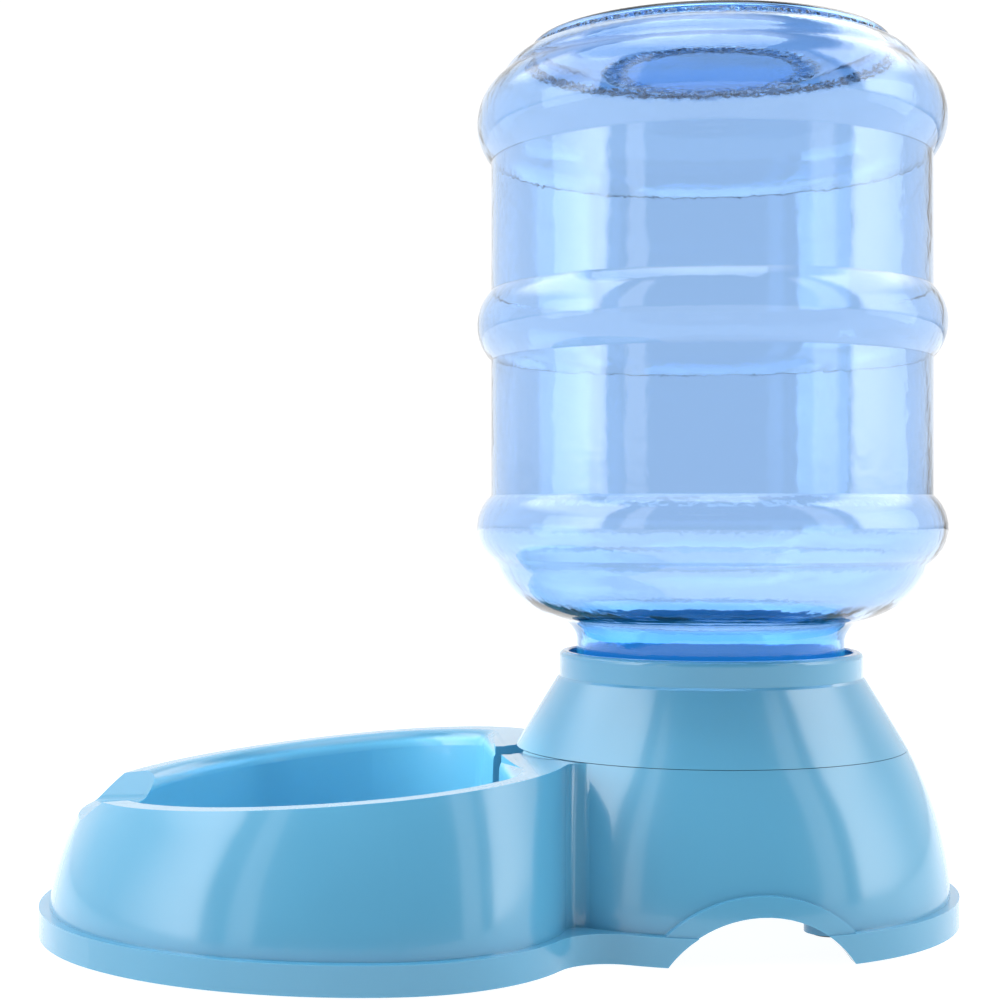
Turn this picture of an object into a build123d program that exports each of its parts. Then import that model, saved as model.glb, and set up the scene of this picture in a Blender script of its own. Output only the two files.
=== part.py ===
from build123d import *
import os
from math import atan2, cos, degrees, hypot, pi, radians, sin, sqrt

os.makedirs("parts", exist_ok=True)

# Gravity-fed pet water dispenser. An upside-down bottle stands in a round stand and feeds a bowl.
# Millimetres. +X runs from the bowl to the stand, +Z is up, and the origin is the centre of the
# whole object's outline, on the surface that it stands on.
# Heights named "_z" are counted from the underside of the base's foot rim.

# Bottle's mouth and neck, which the cap, the collar and the stand are sized to
finish_r = 46.2
finish_length = 20.0
finish_wall = 2.4
neck_step = 1.3  # the neck is wider than the mouth
neck_ring_proud = 3.0
neck_ring = 2.4

# Cap and valve
cap_seat_z = 34.0
seat_gap = 0.2
cap_wall = 2.4
finish_gap = 0.8
cap_grips = 24
grip_r = 0.9
outlet_r = 7.0
spout_wall = 5.0
spout_length = 6.0
gasket_thickness = 1.6
gasket_width = 5.6
gasket_side_gap = 0.3
valve_travel = 4.0
disc_overlap = 3.6  # of the valve's disc over the outlet's edge
disc_thickness = 2.0
seal_overhang = 0.6
seal_thickness = 1.5
stem_r = 2.2
stem_gap = 0.05
stem_side_gap = 0.4
fin_count = 3
fin_thickness = 1.4
fin_gap = 0.4
cage_height = 21.0
cage_side_gap = 2.8
cage_wall = 2.6
cage_foot = 2.0
cage_legs = 3
leg_width = 5.0
cage_gap = 0.15
wire_r = 0.45
spring_r = 5.2
spring_turns = 4
coil_gap = 0.1
points_per_turn = 48  # on the wire, where its gap is measured

# Stand, round the well that the cap stands in
wall = 2.4
well_gap = 8.6  # all round the cap
well_floor_z = 14.0
deck_width = 8.4
stand_lip = 2.6
seam_z = 59.7
stand_belly = 9.0  # each of these is counted outwards from the stand's top edge
stand_belly_z = 39.0
stand_flare = 14.5
channel_width = 23.0
seat_ribs = 4
seat_rib = 3.0
seat_rib_inset = 10.0  # from the spout
seat_rib_length = 19.0
post_r = 3.2
post_into_spout = 1.5
arch_width = 60.0
arch_height = 16.0
arch_border = 6.5
border_proud = 2.2

# Foot rim
rim_height = 9.5
rim_proud = 3.0  # how far the foot rim stands out from the walls
rim_round = 2.0
waist_round = 17.0  # concave corner of the foot rim between bowl and stand

# Bowl, outside. The plan is an oval of arcs: a nose, two sides and two shoulders.
bowl_reach = 234.0  # from the bottle's axis to the tip of the bowl's rim
foot_mid = 115.0  # widest station, in front of the bottle's axis
foot_half_width = 108.8
foot_nose = 8.8  # by which the nose's radius is under the half width
foot_shoulder_r = 61.0
lip_mid = 118.0
lip_lean_side = 16.8
lip_lean_front = 16.5
lip_nose = 6.0
lip_shoulder_r = 63.5
lip_rise = 4.8  # of the sloping lip over the stand's seam, where it is carried on to the bottle's axis
lip_slope = 0.0817
lean_power = 2.1  # the wall leans in faster towards the lip
crease_round = 5.0  # concave corner between the bowl's wall and the stand's wall
wall_shares = (0, 0.3, 0.55, 0.78, 0.92, 1)  # of the wall's height, where its outlines lie
hidden_wall_shares = (0, 0.4, 0.75, 1)

# Bowl, inside
lip_flat = 6.0
lip_inner_round = 6.0
lip_skin = 4.6
bowl_draft = 2.0
bowl_floor_z = 8.0
bowl_floor_round = 11.0
ledge_depth = 7.0  # in front of the stand's top edge
ledge_corner = 10.0
ledge_half_width = 56.0
ledge_tip = 2.0
ledge_drop = 1.3  # under the stand's seam

# Drinking dip in the front of the lip
dip_top_width = 68.0
dip_floor_width = 46.0
dip_depth = 20.2  # under the stand's seam
dip_corner = 9.0

# Collar
collar_height = 24.1
collar_band = 9.5
collar_gap = 0.9  # round the cap, which is lifted through it
collar_band_wall = 3.4
collar_bulge = 0.45
band_step = 0.8
collar_top_round = 1.8
spigot_fit = 0.3
spigot_depth = 5.2
spigot_end_gap = 1.0
spigot_wall = 2.2
seam_gap = 0.2

# Bottle, with its heights counted from the top of its neck
bottle_wall = 1.5
neck_show = 4.7  # of the neck above the collar
flare_mid_r = 49.8
flare_mid_z = 4.2
flare_r = 55.0
flare_z = 7.0
shoulder_r = 67.8
shoulder_z = 13.5
body_r = 78.0
bead_r = 83.0
low_bead_z = (26.5, 50.5)
mid_bead_z = (98.5, 123.0)
top_bead_height = 30.0
top_bead_below = 42.0  # from the bottle's top, and so are the depths that follow
low_bead_root_r = 76.4
top_bead_root_r = 74.4
top_bead_mid_below = 30.0
heel_r = 70.6
heel_below = 7.0
foot_ring_r = 64.2
foot_ring_below = 3.8
crown_r = 63.4
crown_below = 1.0
crown_top_r = 61.0
bottle_height = 211.0
punt_rim_r = 58.5
punt_r = 37.0
punt_below = 8.5
punt_dome_below = 6.5
outer_chords = 4  # in each bead and in the shoulder
inner_chords = 2

# Feet
foot_r = 6.0
foot_thickness = 3.0
foot_proud = 1.0
foot_gap = 0.1
foot_boss = 2.4
front_foot_inset = 74.0  # from the tip of the bowl's rim
front_foot_y = 52.0
rear_foot_x = 34.0
rear_foot_y = 34.0

# Places worked out from these
cap_bore_r = finish_r + finish_gap
cap_r = cap_bore_r + cap_wall
cap_height = cap_wall + gasket_thickness + finish_length
finish_top_z = cap_seat_z + cap_height
neck_r = finish_r + neck_step
neck_ring_r = finish_r + neck_ring_proud
spout_r = outlet_r + spout_wall
disc_r = outlet_r + disc_overlap
cage_r = disc_r + seal_overhang + cage_side_gap + cage_wall
well_r = cap_r + well_gap
stand_top_r = well_r + deck_width + stand_lip
stand_belly_r = stand_top_r + stand_belly
stand_foot_r = stand_top_r + stand_flare
stand_rim_r = stand_foot_r + rim_proud
deck_z = seam_z + seam_gap - spigot_depth - spigot_end_gap
collar_band_z = seam_z + collar_height
collar_top_z = collar_band_z + collar_band
collar_bore_r = cap_r + collar_gap
collar_band_r = collar_bore_r + collar_band_wall
collar_mid_r = (collar_band_r + band_step + stand_top_r) / 2 + collar_bulge
collar_mid_z = (seam_z + collar_band_z) / 2 - collar_bulge
neck_top_z = collar_top_z + neck_show
foot_nose_r = foot_half_width - foot_nose
lip_half_width = foot_half_width - lip_lean_side
lip_nose_r = lip_half_width - lip_nose
lip_reach = bowl_reach - lip_lean_front
lip_axis_z = seam_z + lip_rise
ledge_front = stand_top_r + ledge_depth
ledge_z = seam_z - ledge_drop
dip_floor_z = seam_z - dip_depth
post_top_z = cap_seat_z - spout_length + post_into_spout
front_feet = [(front_foot_inset - bowl_reach, side * front_foot_y) for side in (-1, 1)]
rear_feet = [(rear_foot_x, side * rear_foot_y) for side in (-1, 1)]
arch_r = (arch_height**2 + (arch_width / 2) ** 2) / (2 * arch_height)
total_length = bowl_reach + stand_rim_r
stand_x = total_length / 2 - stand_rim_r
rim_bottom = foot_proud
stand_axis = Axis((stand_x, 0, 0), (0, 0, 1))
stand_section = Plane(origin=(stand_x, 0, rim_bottom), x_dir=(1, 0, 0), z_dir=(0, -1, 0))


def level(z):
    """A horizontal plane over the stand's centre, z above the underside of the foot rim."""
    return Plane(origin=(stand_x, 0, rim_bottom + z))


def leaning_level(share, drop=0):
    """A plane at a share of the sloping lip's height, less a drop."""
    slope = share * lip_slope
    origin = (stand_x, 0, rim_bottom + share * lip_axis_z - drop)
    return Plane(origin=origin, x_dir=(1, 0, slope), z_dir=(-slope, 0, 1))


def bowl_outline(mid, half_width, reach, nose_r, shoulder_r):
    """The bowl's oval, counted from the bottle's axis: a nose, two sides, two shoulders, a back."""
    length = reach - mid
    side_r = ((length - nose_r) ** 2 + half_width**2 - nose_r**2) / (2 * (half_width - nose_r))
    nose_x = -mid - (length - nose_r)
    side_y = half_width - side_r
    turn = degrees(atan2(-side_y, nose_x + mid))
    shoulder_y = half_width - shoulder_r
    with BuildLine() as line:
        CenterArc((-mid, shoulder_y), shoulder_r, 0, 90)
        CenterArc((-mid, side_y), side_r, 90, turn - 90)
        CenterArc((nose_x, 0), nose_r, turn, 360 - 2 * turn)
        CenterArc((-mid, -side_y), side_r, -turn, turn - 90)
        CenterArc((-mid, -shoulder_y), shoulder_r, -90, 90)
        Line((shoulder_r - mid, -shoulder_y), (shoulder_r - mid, shoulder_y))
    return line.line


def wall_outline(share, inset):
    """The bowl's outer wall at a share of its height, moved inwards by an inset."""
    lean = share**lean_power
    foot = (foot_mid, foot_half_width - rim_proud, bowl_reach - rim_proud,
            foot_nose_r - rim_proud, foot_shoulder_r - rim_proud)
    lip = (lip_mid, lip_half_width, lip_reach, lip_nose_r, lip_shoulder_r)
    mid, half_width, reach, nose_r, shoulder_r = (
        low + (high - low) * lean for low, high in zip(foot, lip))
    return bowl_outline(mid, half_width - inset, reach - inset, nose_r - inset, shoulder_r - inset)


def stand_profile(inset, hidden=False):
    """Half of the stand's section, from the axis to its wall moved inwards by an inset.

    The wall bulges outside, and is two straight cones on its hidden inner side.
    """
    foot = (stand_foot_r - inset, 0)
    belly = (stand_belly_r - inset, stand_belly_z)
    top = (stand_top_r - inset, seam_z)
    with BuildLine() as line:
        Line((0, 0), foot)
        if hidden:
            Polyline(foot, belly, top)
        else:
            ThreePointArc(foot, belly, top)
        Polyline(top, (0, seam_z), (0, 0))
    return line.line


def dip_outline(grow):
    """The drinking dip seen from the front, grown all round."""
    slope = (dip_top_width - dip_floor_width) / 2 / (lip_axis_z - lip_slope * lip_reach - dip_floor_z)
    rise = 2 * dip_floor_z
    floor_half = dip_floor_width / 2 + grow
    top_half = floor_half + slope * rise
    floor = dip_floor_z - grow
    with BuildLine() as line:
        FilletPolyline((-top_half, floor + rise), (-floor_half, floor), (floor_half, floor),
                       (top_half, floor + rise), radius=dip_corner)
        Line((top_half, floor + rise), (-top_half, floor + rise))
    return line.line


front_view = Plane(origin=(stand_x - bowl_reach, 0, rim_bottom), x_dir=(0, -1, 0), z_dir=(-1, 0, 0))

# Bowl cavity: the lip's oval less the lip, cut off by a flat wall in front of the stand
with BuildPart() as bowl_cavity:
    with BuildSketch(level(seam_z + rim_height)):
        add(wall_outline(1, lip_flat + lip_inner_round))
        make_face()
        with Locations((-ledge_front, 0)):
            Rectangle(bowl_reach, 4 * lip_half_width, align=(Align.MIN, Align.CENTER), mode=Mode.SUBTRACT)
        fillet(vertices().group_by(Axis.X)[-1], ledge_corner)
    extrude(amount=-(seam_z + rim_height - bowl_floor_z), taper=bowl_draft)
    fillet(faces().sort_by(Axis.Z)[0].edges(), bowl_floor_round)

# Borders of the two hand holes: a band that follows the stand's wall and stands out from it
with BuildPart() as arch_borders:
    with BuildSketch(stand_section):
        add(stand_profile(-border_proud))
        make_face()
    revolve(axis=stand_axis)
    with BuildSketch(stand_section):
        with Locations((0, arch_height - arch_r)):
            Circle(arch_r + arch_border)
    extrude(amount=stand_rim_r, both=True, mode=Mode.INTERSECT)

# Everything under the skin: the space between the outer walls and the walls of the water ways
with BuildPart() as underside:
    for share in hidden_wall_shares:
        with BuildSketch(leaning_level(share, lip_skin * share)):
            add(wall_outline(share, wall))
            make_face()
    loft(ruled=True)
    with BuildSketch(stand_section):
        add(stand_profile(wall, hidden=True))
        make_face()
    revolve(axis=stand_axis)
    with BuildSketch(level(deck_z - wall)):
        Circle(stand_foot_r)
    extrude(amount=seam_z, mode=Mode.SUBTRACT)
    # Walls of the cavity, the channel, the well and the dip stay
    with BuildSketch(level(seam_z + rim_height)):
        add(wall_outline(1, lip_flat + lip_inner_round - wall))
        make_face()
        with Locations((wall - ledge_front, 0)):
            Rectangle(bowl_reach, 4 * lip_half_width, align=(Align.MIN, Align.CENTER), mode=Mode.SUBTRACT)
        fillet(vertices().group_by(Axis.X)[-1], ledge_corner)
    extrude(amount=-(seam_z + rim_height - bowl_floor_z + wall), taper=bowl_draft, mode=Mode.SUBTRACT)
    with BuildSketch(level(well_floor_z - wall)):
        Circle(well_r + wall)
        with Locations((-ledge_front, 0)):
            Rectangle(ledge_front, channel_width + 2 * wall, align=(Align.MIN, Align.CENTER))
    extrude(amount=seam_z, mode=Mode.SUBTRACT)
    with BuildSketch(front_view):
        add(dip_outline(wall))
        make_face()
    extrude(amount=-bowl_reach / 2, mode=Mode.SUBTRACT)

with BuildPart() as base_body:
    # Outer shape: the leaning bowl, the round stand and the concave corners between them
    for share in wall_shares:
        with BuildSketch(leaning_level(share)):
            add(wall_outline(share, 0))
            make_face()
    loft()
    with BuildSketch(stand_section):
        add(stand_profile(0))
        make_face()
    revolve(axis=stand_axis)
    with BuildSketch(level(seam_z)):
        Rectangle(2 * bowl_reach, 4 * lip_half_width)
    extrude(amount=rim_height, mode=Mode.SUBTRACT)
    creases = edges().filter_by(lambda edge: edge.bounding_box().size.Z > 0.95 * seam_z)
    fillet(creases, crease_round)

    # Bowl, with its lip rounded inwards, and the ledge in front of the stand
    add(bowl_cavity.part, mode=Mode.SUBTRACT)
    lip = faces().filter_by(GeomType.PLANE).filter_by(lambda face: 0.9 < face.normal_at().Z < 0.999)
    fillet(lip[0].inner_wires()[0].edges(), lip_inner_round)
    with BuildSketch(level(well_floor_z)):
        with BuildLine():
            tips = [(-stand_top_r - ledge_tip, side * ledge_half_width) for side in (-1, 1)]
            ThreePointArc(tips[0], (-ledge_front, 0), tips[1])
            Polyline(tips[1], (-stand_top_r, tips[1][1]), (-stand_top_r, tips[0][1]), tips[0])
        make_face()
    extrude(amount=ledge_z - well_floor_z)

    # Foot rim
    with BuildSketch(level(0)):
        add(bowl_outline(foot_mid, foot_half_width, bowl_reach, foot_nose_r, foot_shoulder_r))
        make_face()
        Circle(stand_rim_r)
        on_circle = vertices().filter_by(lambda corner: abs(hypot(corner.X, corner.Y) - stand_rim_r) < 0.01)
        fillet(on_circle.filter_by(lambda corner: corner.X < 0), waist_round)
    extrude(amount=rim_height)
    rim_top = faces().filter_by(Axis.Z).filter_by_position(
        Axis.Z, rim_bottom + rim_height - 0.1, rim_bottom + rim_height + 0.1)
    fillet(rim_top.sort_by(SortBy.AREA)[-1].outer_wire().edges(), rim_round)
    add(arch_borders.part)
    add(underside.part, mode=Mode.SUBTRACT)

    # Seat of the collar, the well under the bottle, and the channel into the bowl
    with BuildSketch(level(seam_z)):
        Circle(stand_top_r - stand_lip)
    extrude(amount=-(seam_z - deck_z), mode=Mode.SUBTRACT)
    with BuildSketch(level(well_floor_z)):
        Circle(well_r)
        with Locations((-ledge_front - ledge_corner, 0)):
            Rectangle(ledge_front + ledge_corner, channel_width, align=(Align.MIN, Align.CENTER))
    extrude(amount=seam_z, mode=Mode.SUBTRACT)

    # Hand holes through the front and back of the stand
    with BuildSketch(stand_section.offset(stand_rim_r + rim_proud)):
        with Locations((0, arch_height - arch_r)):
            Circle(arch_r)
    extrude(amount=-(stand_rim_r + rim_proud - well_r - 2 * wall), mode=Mode.SUBTRACT)
    with BuildSketch(stand_section.offset(-stand_rim_r - rim_proud)):
        with Locations((0, arch_height - arch_r)):
            Circle(arch_r)
    extrude(amount=stand_rim_r + rim_proud - well_r - 2 * wall, mode=Mode.SUBTRACT)

    # Drinking dip in the front of the lip
    with BuildSketch(front_view):
        add(dip_outline(0))
        make_face()
    extrude(amount=-bowl_reach / 2, mode=Mode.SUBTRACT)

    # Ribs that the cap sits on, and the post that opens its valve
    with BuildSketch(level(well_floor_z - wall / 2)):
        with PolarLocations(spout_r + seat_rib_inset, seat_ribs, start_angle=180 / seat_ribs):
            Rectangle(seat_rib_length, seat_rib, align=(Align.MIN, Align.CENTER))
    extrude(amount=cap_seat_z - seat_gap - well_floor_z + wall / 2)
    with BuildSketch(level(well_floor_z - wall / 2)):
        Circle(post_r)
    extrude(amount=post_top_z - well_floor_z + wall / 2)

    # Bosses for the feet, from the floors down to the foot rim's level
    for places, floor_z in ((front_feet, bowl_floor_z), (rear_feet, well_floor_z)):
        with BuildSketch(level(0)):
            with Locations(*places):
                Circle(foot_r + foot_gap + foot_boss)
        extrude(amount=floor_z - wall / 2)
    with BuildSketch(level(0)):
        with Locations(*front_feet, *rear_feet):
            Circle(foot_r + foot_gap)
    extrude(amount=foot_thickness - foot_proud, mode=Mode.SUBTRACT)
base_body.part.label = "base_body"
export_step(base_body.part, "parts/base_body.step")

# Collar: a cone with an upright band on top, open below, with a spigot that drops into the stand
with BuildPart() as collar:
    seat_z = seam_z + seam_gap
    spigot_r = stand_top_r - stand_lip - spigot_fit
    with BuildSketch(stand_section):
        with BuildLine():
            cone = ThreePointArc((stand_top_r, seat_z), (collar_mid_r, collar_mid_z),
                                 (collar_band_r + band_step, collar_band_z))
            Polyline(cone @ 1, (collar_band_r, collar_band_z + band_step), (collar_band_r, collar_top_z),
                     (collar_bore_r, collar_top_z), (collar_bore_r, collar_band_z))
            Polyline((collar_bore_r, collar_band_z), (collar_mid_r - wall, collar_mid_z - wall / 2),
                     (spigot_r - spigot_wall, seat_z), (spigot_r - spigot_wall, seat_z - spigot_depth),
                     (spigot_r, seat_z - spigot_depth), (spigot_r, seat_z), (stand_top_r, seat_z))
        make_face()
    revolve(axis=stand_axis)
    top_edges = edges().filter_by(GeomType.CIRCLE).group_by(Axis.Z)[-1].sort_by(SortBy.RADIUS)
    fillet(top_edges[-1], collar_top_round)
    chamfer(top_edges[0], collar_top_round / 4)
collar.part.label = "collar"
export_step(collar.part, "parts/collar.step")


def bottle_outline(mouth, inset, chords):
    """Half of the bottle's section above its mouth, moved in along the way that its skin faces.

    Each curve is a run of chords, because the wall turns all round and its facets add up.
    """

    def skin(r, z, facing=0):
        return (r - inset * cos(radians(facing)), neck_top_z + z - inset * sin(radians(facing)))

    def curve(start, through, end):
        arc = ThreePointArc(start, through, end, mode=Mode.PRIVATE)
        return Polyline(*(arc @ (step / chords) for step in range(chords + 1)))

    with BuildLine() as line:
        neck = Polyline(*mouth, skin(neck_r, 0), skin(flare_mid_r, flare_mid_z, -32),
                        skin(flare_r, flare_z, -62))
        shoulder = curve(neck @ 1, skin(shoulder_r, shoulder_z, -52),
                         skin(low_bead_root_r, low_bead_z[0], -20))
        low_bead = curve(shoulder @ 1, skin(bead_r, sum(low_bead_z) / 2), skin(body_r, low_bead_z[1]))
        low_wall = Line(low_bead @ 1, skin(body_r, mid_bead_z[0]))
        mid_bead = curve(low_wall @ 1, skin(bead_r, sum(mid_bead_z) / 2), skin(body_r, mid_bead_z[1]))
        top_wall = Line(mid_bead @ 1, skin(body_r, bottle_height - top_bead_below))
        top_bead = curve(top_wall @ 1, skin(bead_r, bottle_height - top_bead_mid_below),
                         skin(top_bead_root_r, bottle_height - top_bead_below + top_bead_height, 30))
        Polyline(top_bead @ 1, skin(heel_r, bottle_height - heel_below, 45),
                 skin(foot_ring_r, bottle_height - foot_ring_below, 30),
                 skin(crown_r, bottle_height - crown_below, 45), skin(crown_top_r, bottle_height, 90),
                 skin(punt_rim_r, bottle_height, 110), skin(punt_r, bottle_height - punt_below, 100),
                 skin(0, bottle_height - punt_dome_below, 90), (0, mouth[0][1]), mouth[0])
    return line.line


# Bottle, upside down: mouth and neck below, three beads, and a ringed foot with a hollow on top
lip_z = cap_seat_z + cap_wall + gasket_thickness
bore = finish_r - finish_wall
with BuildPart() as bottle:
    with BuildSketch(stand_section):
        add(bottle_outline([(finish_r, lip_z), (finish_r, finish_top_z),
                            (neck_ring_r, finish_top_z + neck_ring / 2),
                            (neck_ring_r, finish_top_z + 1.5 * neck_ring),
                            (neck_r, finish_top_z + 2.5 * neck_ring)], 0, outer_chords))
        make_face()
    revolve(axis=stand_axis)
    with BuildSketch(stand_section):
        add(bottle_outline([(bore, lip_z - finish_wall), (bore, finish_top_z)], bottle_wall, inner_chords))
        make_face()
    contents = revolve(axis=stand_axis, mode=Mode.PRIVATE)
    add(contents, mode=Mode.SUBTRACT)
bottle.part.label = "bottle"
export_step(bottle.part, "parts/bottle.step")
print("the bottle holds", round(contents.volume / 1e6, 2), "litres")

# Screw cap, under the bottle: a plate with an outlet spout, a skirt with grips, a seat for the cage
plate_z = cap_seat_z + cap_wall
with BuildPart() as cap:
    with BuildSketch(level(cap_seat_z)):
        Circle(cap_r)
    extrude(amount=cap_height)
    chamfer(edges().group_by(Axis.Z)[0], cap_wall / 2)
    with BuildSketch(level(plate_z)):
        Circle(cap_bore_r)
    extrude(amount=cap_height, mode=Mode.SUBTRACT)
    with BuildSketch(level(cap_seat_z - spout_length)):
        Circle(spout_r)
    extrude(amount=spout_length + cap_wall / 2)
    with BuildSketch(level(plate_z)):
        Circle(cage_r + cage_gap + cap_wall)
        Circle(cage_r + cage_gap, mode=Mode.SUBTRACT)
    extrude(amount=cage_foot)
    with BuildSketch(level(cap_seat_z - spout_length)):
        Circle(outlet_r)
    extrude(amount=spout_length + cap_wall, mode=Mode.SUBTRACT)
    with BuildSketch(level(cap_seat_z + cap_wall)):
        with PolarLocations(cap_r + grip_r / 3, cap_grips):
            Circle(grip_r)
    extrude(amount=cap_height, mode=Mode.SUBTRACT)
cap.part.label = "cap"
export_step(cap.part, "parts/cap.step")

with BuildPart() as cap_gasket:
    with BuildSketch(level(plate_z)):
        Circle(cap_bore_r - gasket_side_gap)
        Circle(cap_bore_r - gasket_side_gap - gasket_width, mode=Mode.SUBTRACT)
    extrude(amount=gasket_thickness)
cap_gasket.part.label = "cap_gasket"
export_step(cap_gasket.part, "parts/cap_gasket.step")

# Valve, open: the post holds the stem up, with its seal clear of the cap's plate by the travel
seal_z = plate_z + valve_travel
disc_z = seal_z + seal_thickness
spring_z = disc_z + disc_thickness
cage_top_z = plate_z + cage_height
hub_z = cage_top_z - cage_wall
tip_z = post_top_z + seat_gap
with BuildPart() as valve_stem:
    with BuildSketch(level(tip_z)):
        Circle(stem_r)
    extrude(amount=cage_top_z + valve_travel + stem_r - tip_z)
    chamfer(edges().group_by(Axis.Z)[-1], stem_r / 3)
    with BuildSketch(level(disc_z)):
        Circle(disc_r)
    extrude(amount=disc_thickness)
    with BuildSketch(level(spring_z - disc_thickness / 2)):
        Circle(spring_r - wire_r - stem_side_gap)
    extrude(amount=disc_thickness)
    # Fins guide the stem in the outlet and let the water past
    with BuildSketch(level(tip_z + stem_r)):
        with PolarLocations(0, fin_count):
            Rectangle(outlet_r - fin_gap, fin_thickness, align=(Align.MIN, Align.CENTER))
    extrude(amount=seal_z - tip_z - stem_r)
valve_stem.part.label = "valve_stem"
export_step(valve_stem.part, "parts/valve_stem.step")

with BuildPart() as valve_seal:
    with BuildSketch(level(seal_z)):
        Circle(disc_r + seal_overhang)
        Circle(stem_r, mode=Mode.SUBTRACT)
    extrude(amount=seal_thickness)
    chamfer(edges().filter_by(GeomType.CIRCLE).group_by(SortBy.RADIUS)[-1], seal_thickness / 4)
valve_seal.part.label = "valve_seal"
export_step(valve_seal.part, "parts/valve_seal.step")

with BuildPart() as valve_cage:
    with BuildSketch(level(plate_z)):
        Circle(cage_r)
        Circle(cage_r - cage_wall, mode=Mode.SUBTRACT)
    extrude(amount=cage_height)
    with BuildSketch(level(hub_z)):
        Circle(cage_r)
    extrude(amount=cage_wall)
    # Windows for the water, between the legs
    with BuildSketch(level(plate_z + cage_foot)) as windows:
        Circle(cage_r + cage_gap)
        Circle(cage_r - cage_wall - cage_gap, mode=Mode.SUBTRACT)
        with PolarLocations(0, cage_legs):
            Rectangle(cage_r * 2, leg_width, align=(Align.MIN, Align.CENTER), mode=Mode.SUBTRACT)
    extrude(amount=hub_z - plate_z - cage_foot, mode=Mode.SUBTRACT)
    with BuildSketch(level(hub_z)):
        Circle(stem_r + stem_gap)
    extrude(amount=cage_wall, mode=Mode.SUBTRACT)
    chamfer(edges().filter_by(GeomType.CIRCLE).group_by(Axis.Z)[-1].sort_by(SortBy.RADIUS)[-1], cage_wall / 3)
valve_cage.part.label = "valve_cage"
export_step(valve_cage.part, "parts/valve_cage.step")


def coil_point(turn):
    """Point and direction on the spring's centre line, after a number of turns."""
    rise = hub_z - spring_z - 2 * wire_r - 2 * coil_gap
    angle = 2 * pi * turn
    point = Vector(stand_x + spring_r * cos(angle), spring_r * sin(angle),
                   rim_bottom + spring_z + wire_r + coil_gap + rise * turn / spring_turns)
    along = Vector(-spring_r * sin(angle), spring_r * cos(angle), rise / spring_turns / 2 / pi).normalized()
    return point, along


# Valve spring: one wire, each quarter turn a pair of arcs that meet smoothly
wire_points = [coil_point(n / points_per_turn)[0] for n in range(points_per_turn * spring_turns + 1)]
with BuildPart() as valve_spring:
    with BuildLine() as wire_path:
        for quarter in range(4 * spring_turns):
            start, start_way = coil_point(quarter / 4)
            end, end_way = coil_point((quarter + 1) / 4)
            chord, ways = end - start, start_way + end_way
            bend = 2 * (1 - start_way.dot(end_way))
            reach = (sqrt(chord.dot(ways) ** 2 + bend * chord.dot(chord)) - chord.dot(ways)) / bend
            middle = (start + end + (start_way - end_way) * reach) * 0.5
            TangentArc(start, middle, tangent=start_way)
            TangentArc(end, middle, tangent=end_way * -1)
    start, start_way = coil_point(0)
    with BuildSketch(Plane(origin=start, z_dir=start_way)):
        Circle(wire_r)
    sweep(path=wire_path.wire())
valve_spring.part.label = "valve_spring"
export_step(valve_spring.part, "parts/valve_spring.step")
turn_step = min((later - point).length for point, later in zip(wire_points, wire_points[points_per_turn:]))
print("least gap between the spring's turns", round(turn_step - 2 * wire_r, 2), "mm")

# Rubber feet, pressed into the bosses
names = ("foot_front_right", "foot_front_left", "foot_rear_right", "foot_rear_left")
for name, place in zip(names, front_feet + rear_feet):
    with BuildPart() as foot:
        with BuildSketch(level(-foot_proud)):
            with Locations(place):
                Circle(foot_r)
        extrude(amount=foot_thickness)
        chamfer(edges().group_by(Axis.Z)[0], foot_proud / 2)
    foot.part.label = name
    export_step(foot.part, f"parts/{name}.step")
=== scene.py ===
from math import atan2, cos, pi, radians, sin

import bpy
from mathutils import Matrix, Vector


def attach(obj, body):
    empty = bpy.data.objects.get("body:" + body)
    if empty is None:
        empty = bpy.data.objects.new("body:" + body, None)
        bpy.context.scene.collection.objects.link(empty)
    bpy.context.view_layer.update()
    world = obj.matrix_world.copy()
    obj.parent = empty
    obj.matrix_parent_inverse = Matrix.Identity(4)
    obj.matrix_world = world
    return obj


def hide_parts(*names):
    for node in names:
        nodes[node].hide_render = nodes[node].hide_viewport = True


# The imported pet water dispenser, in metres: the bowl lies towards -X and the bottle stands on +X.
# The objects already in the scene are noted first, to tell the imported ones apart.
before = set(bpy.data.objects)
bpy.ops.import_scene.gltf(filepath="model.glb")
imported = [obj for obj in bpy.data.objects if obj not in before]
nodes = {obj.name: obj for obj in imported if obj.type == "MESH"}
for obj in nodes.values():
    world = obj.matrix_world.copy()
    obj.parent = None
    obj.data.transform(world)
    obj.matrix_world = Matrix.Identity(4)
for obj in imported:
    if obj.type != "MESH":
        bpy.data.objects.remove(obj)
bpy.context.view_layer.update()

# Studio: a seamless white floor under a white tent, open and dark where the camera looks in.
# The camera is the one that was fitted to the photograph's ellipses.
mm = 0.001
bpy.ops.object.select_all(action="DESELECT")
bpy.ops.object.camera_add(location=(-64.6 * mm, -668.9 * mm, 144.7 * mm))
camera = bpy.context.object
camera.name = "studio_camera"
camera.data.lens = 68.51
camera.data.sensor_width = 36
camera.data.clip_start = 10 * mm
line_of_sight = Vector((0.094, 0.9956, 0.0045))
camera.rotation_euler = line_of_sight.to_track_quat("-Z", "Y").to_euler()
bpy.context.scene.camera = camera
bpy.context.scene.view_settings.view_transform = "Standard"


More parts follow.
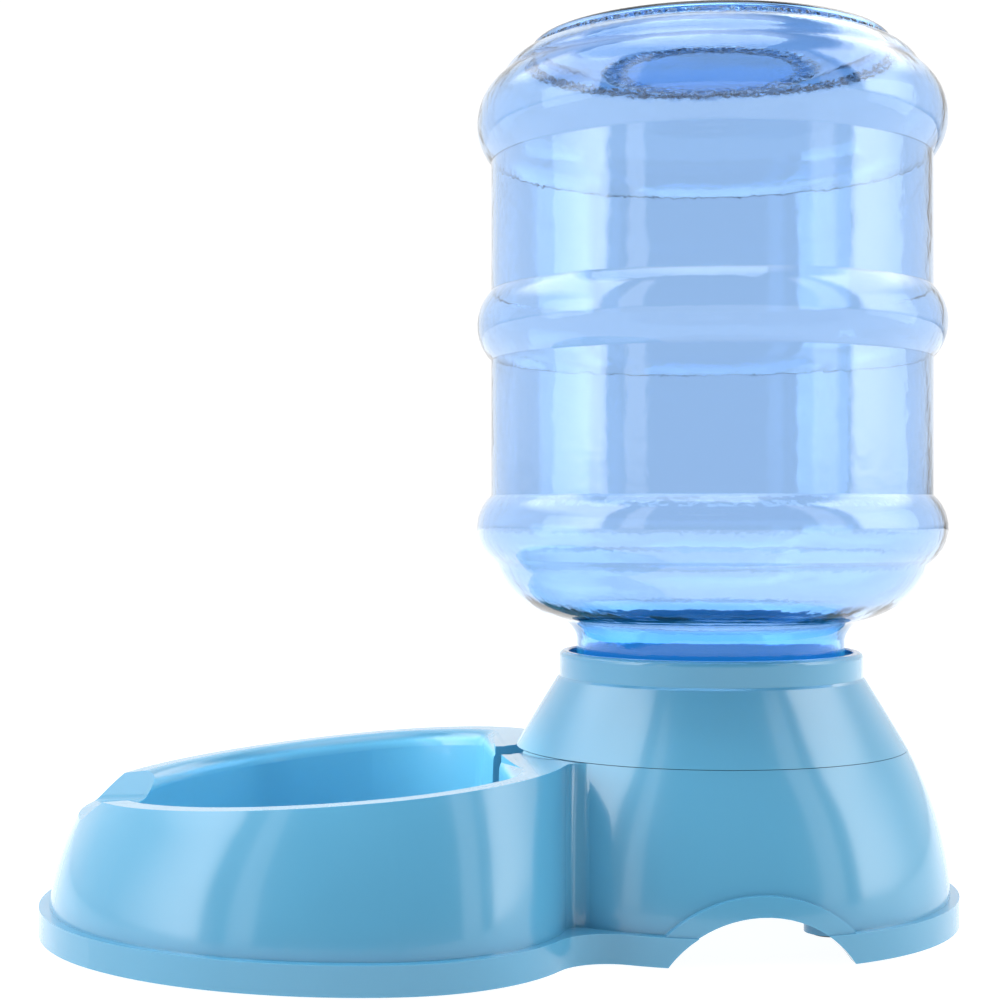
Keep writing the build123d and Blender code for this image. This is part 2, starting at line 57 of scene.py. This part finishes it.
class Shade:
    """A shader value or colour. Sums and products of shades, and of shades and numbers, add nodes."""

    def __init__(self, tree, socket=None):
        self.tree = tree
        self.socket = socket

    def node(self, kind, settings=None, sockets=None, output=0):
        """Adds a node, with its settings made before its sockets are filled or linked."""
        made = self.tree.nodes.new(kind)
        for name, value in (settings or {}).items():
            setattr(made, name, value)
        for name, value in (sockets or {}).items():
            if isinstance(value, Shade):
                self.tree.links.new(value.socket, made.inputs[name])
            else:
                made.inputs[name].default_value = value
        return Shade(self.tree, made.outputs[output] if made.outputs else None)

    def math(self, operation, *values):
        return self.node("ShaderNodeMath", {"operation": operation}, dict(enumerate(values)))

    def __add__(self, other):
        return self.math("ADD", self, other)

    __radd__ = __add__

    def __sub__(self, other):
        return self.math("SUBTRACT", self, other)

    def __rsub__(self, other):
        return self.math("SUBTRACT", other, self)

    def __mul__(self, other):
        return self.math("MULTIPLY", self, other)

    __rmul__ = __mul__

    def step(self, low, high):
        """Rises smoothly from 0 to 1 between low and high."""
        sockets = {"Value": self, "From Min": low, "From Max": high}
        return self.node("ShaderNodeMapRange", {"interpolation_type": "SMOOTHSTEP"}, sockets)

    def band(self, low, inner_low, inner_high, high):
        """1 between the inner pair of values, and 0 beyond the outer pair."""
        return self.step(low, inner_low) * (1 - self.step(inner_high, high))

    def blend(self, below, above):
        """One colour where this is 0, another where it is 1."""
        sockets = {"Factor": self, "A": below, "B": above}
        return self.node("ShaderNodeMix", {"data_type": "RGBA"}, sockets, output=2)

    def part(self, axis):
        """One of the three numbers of a vector."""
        return self.node("ShaderNodeSeparateXYZ", sockets={0: self}, output=axis)

    def noise(self, scale, detail=2, stretch=(1, 1, 1)):
        """Soft noise about 0.5, in cells of 1 / scale metres."""
        place = self.node("ShaderNodeMapping", sockets={"Vector": self, "Scale": stretch})
        return place.node("ShaderNodeTexNoise", sockets={"Vector": place, "Scale": scale, "Detail": detail})

    def bump(self, height, distance):
        """The surface's normal, tilted by a height of 0 to 1 that stands for a distance in metres."""
        return self.node("ShaderNodeBump", sockets={"Height": height, "Distance": distance})


def colour(red, green, blue):
    """A screen colour, 0 to 255, as the light that it stands for."""
    light = [((c / 255 + 0.055) / 1.055) ** 2.4 if c > 10 else c / 255 / 12.92 for c in (red, green, blue)]
    return (*light, 1)


# The tent's light by direction. Angles are in degrees to the right and left of the camera's side. Two
# side panels fade towards the back, less so higher up, and each has a narrow strip nearer the camera.
front_light, back_light, ceiling_light, panel_light = 0.26, 0.8, 1.6, 3.9
camera_side = 0.1
white = (1, 1, 1, 1)
world = bpy.data.worlds.new("studio")
world.use_nodes = True
world.node_tree.nodes.clear()
bpy.context.scene.world = world
toward = Shade(world.node_tree).node("ShaderNodeTexCoord")
to_right = toward.math("ARCTAN2", toward.part(0) + camera_side, 0 - toward.part(1)) * (180 / pi)
to_left = 0 - to_right
up = toward.part(2)
backdrop = to_left.step(138, 152) + to_right.step(138, 152)
fade = 1 - 0.8 * up.step(0.4, 0.6)
left_panel = to_left.band(58, 62, 138, 152) * (panel_light - 3.1 * fade * to_left.step(62, 104))
right_panel = to_right.band(64, 68, 138, 152) * (panel_light - 3.2 * fade * to_right.step(68, 108))
strips = 1.6 * to_left.band(38, 41, 48, 51) + 1.4 * to_right.band(44, 48, 56, 60)
panels = (left_panel + strips + right_panel) * up.band(-0.05, 0.05, 0.76, 0.84)
ceiling = ceiling_light * up.step(0.9, 0.97)
brightness = front_light + back_light * backdrop + panels + ceiling
tent = toward.node("ShaderNodeBackground", sockets={"Color": white, "Strength": brightness})
toward.node("ShaderNodeOutputWorld", sockets={"Surface": tent})


def new_material(name):
    """An empty material, and the place on the object that its patterns are drawn from."""
    material = bpy.data.materials.new(name)
    material.use_nodes = True
    material.node_tree.nodes.clear()
    place = Shade(material.node_tree).node("ShaderNodeTexCoord", output=3)
    return material, place


def surface(place, sockets):
    """The material's one shader."""
    shader = place.node("ShaderNodeBsdfPrincipled", sockets=sockets)
    place.node("ShaderNodeOutputMaterial", sockets={"Surface": shader})


bpy.ops.object.select_all(action="DESELECT")
bpy.ops.mesh.primitive_plane_add(size=12)
floor = bpy.context.object
floor.name = "studio_floor"
floor_paint, place = new_material("studio_floor")
surface(place, {
    "Base Color": (0.2, 0.2, 0.2, 1),
    "Roughness": 0.9,
    "Emission Color": white,
    "Emission Strength": 0.95,
})
floor.data.materials.append(floor_paint)


def softbox(name, place, aim, size, power):
    """A studio panel that lights a point from a place. Gloss shows the tent's panels, not this one."""
    bpy.ops.object.light_add(type="AREA", location=place)
    lamp = bpy.context.object
    lamp.name = name
    lamp.data.shape = "RECTANGLE"
    lamp.data.size, lamp.data.size_y = size
    lamp.data.energy = power
    lamp.visible_glossy = False
    lamp.rotation_euler = (Vector(aim) - Vector(place)).to_track_quat("-Z", "Y").to_euler()


softbox("panel_top", place=(-0.1, -0.1, 1.05), aim=(-0.06, 0, 0.05), size=(0.9, 0.5), power=7)
softbox("panel_left", place=(-0.9, -0.15, 0.3), aim=(0, 0, 0.08), size=(0.6, 0.5), power=3)
softbox("panel_right", place=(0.9, -0.1, 0.3), aim=(0, 0, 0.08), size=(0.6, 0.5), power=2)


def coat_with(material, *names):
    """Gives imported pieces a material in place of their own."""
    for name in names:
        nodes[name].data.materials.clear()
        nodes[name].data.materials.append(material)


# Base, collar and cap: glossy light blue polypropylene, injection moulded, a little translucent. The faces
# inside the bowl get a lighter colour, painted light for what comes through the walls and bounces inside
# the bowl. The mouldings have faint flow marks, sink waves that bend their reflections, and fine dust.
bowl_x = -45 * mm
moulding, place = new_material("base_plastic")
flow = place.noise(9, 3, (1, 1, 0.4))
waves = place.noise(28, 1)
dust = place.noise(900)
facing = place.node("ShaderNodeNewGeometry", output=1)
inwards = facing.part(0) * (bowl_x - place.part(0)) - facing.part(1) * place.part(1)
faces_the_middle = inwards.step(0.004, 0.02)
before_the_stand = 1 - place.part(0).step(0, 0.015)
upright = 1 - facing.part(2).step(0.4, 0.75)
# Painted light: the bowl's inner faces, found by where they face, get a lighter colour.
painted_bowl_light = faces_the_middle * before_the_stand * upright
tone = flow.step(0.3, 0.7).blend(colour(74, 142, 176), colour(79, 147, 181))
surface(place, {
    # Painted light: a lighter blue on the bowl's inner faces, over the moulding's own tone.
    "Base Color": painted_bowl_light.blend(tone, colour(110, 194, 228)),
    "Roughness": 0.17 + 0.07 * dust,
    "IOR": 1.49,
    "Subsurface Weight": 0.12,
    "Subsurface Radius": (0.4, 0.8, 1),
    "Subsurface Scale": 4 * mm,
    "Coat Weight": 0.5,
    "Coat Roughness": 0.06,
    "Normal": place.bump(waves, 1 * mm),
})
coat_with(moulding, "base_body", "collar", "cap")

# Feet: four discs of dark rubber, pressed into the bosses under the base.
# The rubber is matt, with a fine grain from its mould.
rubber, place = new_material("foot_rubber")
grain = place.noise(2500)
surface(place, {
    "Base Color": grain.step(0.3, 0.7).blend(colour(40, 42, 46), colour(54, 56, 60)),
    "Roughness": 0.75 + 0.15 * grain,
    "Normal": place.bump(grain, 0.2 * mm),
})
coat_with(rubber, "foot_front_left", "foot_front_right", "foot_rear_left", "foot_rear_right")

# Valve and gasket: a white acetal stem that slides in its cage inside the cap, a milky silicone seal
# under the stem's disc and a gasket under the bottle's lip, and a drawn steel spring.
acetal, place = new_material("valve_plastic")
grain = place.noise(1500)
surface(place, {
    "Base Color": grain.step(0.2, 0.8).blend(colour(226, 229, 230), colour(238, 240, 240)),
    "Roughness": 0.38 + 0.1 * grain,
    "Normal": place.bump(grain, 0.1 * mm),
})
coat_with(acetal, "valve_stem", "valve_cage")
silicone, place = new_material("seal_rubber")
grain = place.noise(1200)
surface(place, {
    "Base Color": grain.step(0.2, 0.8).blend(colour(206, 210, 212), colour(220, 223, 224)),
    "Roughness": 0.45 + 0.15 * grain,
    "Subsurface Weight": 0.3,
    "Subsurface Scale": 2 * mm,
})
coat_with(silicone, "cap_gasket", "valve_seal")
steel, place = new_material("spring_wire")
draw = place.noise(4000, stretch=(1, 1, 0.2))
surface(place, {
    "Base Color": colour(190, 192, 196),
    "Metallic": 1,
    "Roughness": 0.22 + 0.15 * draw,
})
coat_with(steel, "valve_spring")

# Bottle: clear blue polyester, blow moulded, standing on its mouth on the cap's gasket. Three beads
# stiffen the wall, the neck is thicker and so a deeper blue, and the foot on top is drawn in to a
# hollow with a stippled ring round its disc.
stand_x = 73.75 * mm
rim_bottom = 1 * mm
bottle_sides = 160


def arc(start, through, end, steps):
    """Points on the circle through three points, after the first and up to the last."""
    (ax, ay), (bx, by), (cx, cy) = start, through, end
    turn = 2 * (ax * (by - cy) + bx * (cy - ay) + cx * (ay - by))
    a2, b2, c2 = ax * ax + ay * ay, bx * bx + by * by, cx * cx + cy * cy
    mx = (a2 * (by - cy) + b2 * (cy - ay) + c2 * (ay - by)) / turn
    my = (a2 * (cx - bx) + b2 * (ax - cx) + c2 * (bx - ax)) / turn
    radius = Vector((ax - mx, ay - my)).length
    first = atan2(ay - my, ax - mx)
    sweep = (atan2(cy - my, cx - mx) - first + pi) % (2 * pi) - pi
    return [(mx + radius * cos(first + sweep * n / steps), my + radius * sin(first + sweep * n / steps))
            for n in range(1, steps + 1)]


def turned(name, profile, sides):
    """A closed piece turned about the stand's axis, from the profile's (radius, height) in mm."""
    bpy.ops.object.select_all(action="DESELECT")
    radius, height = profile[0]
    centre = (stand_x, 0, rim_bottom + height * mm)
    bpy.ops.mesh.primitive_circle_add(
        vertices=sides, radius=radius * mm, fill_type="TRIFAN", location=centre)
    piece = bpy.context.object
    piece.name = name
    bpy.ops.object.transform_apply()
    bpy.ops.object.mode_set(mode="EDIT")
    bpy.ops.mesh.select_mode(type="EDGE")
    bpy.ops.mesh.select_all(action="SELECT")
    bpy.ops.mesh.region_to_loop()
    for new_radius, new_height in profile[1:]:
        rise = (0, 0, (new_height - height) * mm)
        bpy.ops.mesh.extrude_edges_move(TRANSFORM_OT_translate={"value": rise})
        share = new_radius / radius
        middle = (stand_x, 0, rim_bottom + new_height * mm)
        bpy.ops.transform.resize(value=(share, share, 1), center_override=middle)
        radius, height = new_radius, new_height
    bpy.ops.mesh.merge(type="CENTER")
    bpy.ops.mesh.select_all(action="SELECT")
    bpy.ops.mesh.normals_make_consistent(inside=False)
    bpy.ops.object.mode_set(mode="OBJECT")
    bpy.ops.object.shade_smooth_by_angle(angle=radians(32))
    return piece


# The outer skin from the disc's middle, over the foot, down the body and its beads, to the mouth.
skin = [(2, 302.48)]
skin += arc((2, 302.48), (20, 301.9), (37, 300.5), 8)
skin += [(47.7, 304.7), (58.5, 309)]
skin += [(59.7, 309.15), (61, 309)]
skin += arc((61, 309), (63.4, 308), (64.2, 305.2), 6)
skin += arc((64.2, 305.2), (70.6, 302), (74.4, 297), 8)
skin += arc((74.4, 297), (83, 279), (78, 267), 14)
skin += [(78, 255), (78, 233), (78, 221)]
skin += arc((78, 221), (83, 208.75), (78, 196.5), 12)
skin += [(78, 185), (78, 160), (78, 148.5)]
skin += arc((78, 148.5), (83, 136.5), (76.4, 124.5), 12)
skin += arc((76.4, 124.5), (67.8, 111.5), (55, 105), 10)
skin += arc((55, 105), (49.8, 102.2), (47.5, 98), 6)
skin += [(47.5, 90), (47.5, 75), (47.5, 64), (49.2, 61.6), (49.2, 59.2)]
skin += [(46.2, 58), (46.2, 48), (46.2, 38)]


def inner_skin(points):
    """The same profile, moved in by the wall: thin in the body, thicker in the neck, with a plain mouth."""
    body_wall, neck_wall, mouth_radius = 1.3, 2.4, 43.8
    mouth_top, neck_top, body_bottom = 66, 98, 112
    moved = []
    for n, (r, z) in enumerate(points):
        before = points[max(n - 1, 0)]
        after = points[min(n + 1, len(points) - 1)]
        along = Vector((after[0] - before[0], after[1] - before[1])).normalized()
        thinned = max(0, min(1, (z - neck_top) / (body_bottom - neck_top)))
        wall = neck_wall - (neck_wall - body_wall) * thinned
        bore = r + wall * along.y
        rise = z - wall * along.x
        moved.append((bore, rise) if z > mouth_top else (mouth_radius, min(rise, z)))
    return moved


bottle = turned("bottle_shell", skin + inner_skin(skin)[::-1], bottle_sides)

# Its zones, by height and by distance from its axis, in metres. The disc's edge and the groove inside
# the foot's rim are stippled. The neck is given a faint painted glow, for light that is scattered in its
# wall.
clear_blue, place = new_material("bottle_plastic")
height = place.part(2)
off_axis = place.part(0) - stand_x
radius = place.math("SQRT", off_axis * off_axis + place.part(1) * place.part(1))
foot = height.step(0.2975, 0.2995) * (1 - radius.step(0.064, 0.069))
disc = foot * (1 - radius.step(0.0345, 0.0365))
groove = radius.band(0.0615, 0.0625, 0.0655, 0.0665) * (1 - height.step(0.3065, 0.3075))
edges = radius.band(0.029, 0.034, 0.037, 0.039) + groove
stipple = foot * edges * place.noise(420, 1).step(0.42, 0.6)
neck = 1 - height.step(0.1, 0.108)
clear = foot.blend(neck.blend(colour(195, 219, 246), colour(156, 204, 248)), colour(122, 170, 224))
ripple = place.noise(22, 1, (1, 1, 0.25))
peel = place.noise(160)
surface(place, {
    "Base Color": disc.blend(clear, colour(88, 156, 232)),
    "Roughness": 0.02 + 0.03 * peel + 0.45 * stipple,
    "IOR": 1.46,
    "Transmission Weight": 1,
    # Painted light: a faint blue glow in the neck.
    "Emission Color": neck.blend((0, 0, 0, 1), (0.004, 0.045, 0.09, 1)),
    "Emission Strength": 1,
    "Normal": place.bump(ripple + 0.06 * peel + 0.8 * stipple, 1.2 * mm),
})
bottle.data.materials.append(clear_blue)
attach(bottle, "bottle")
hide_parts("bottle")
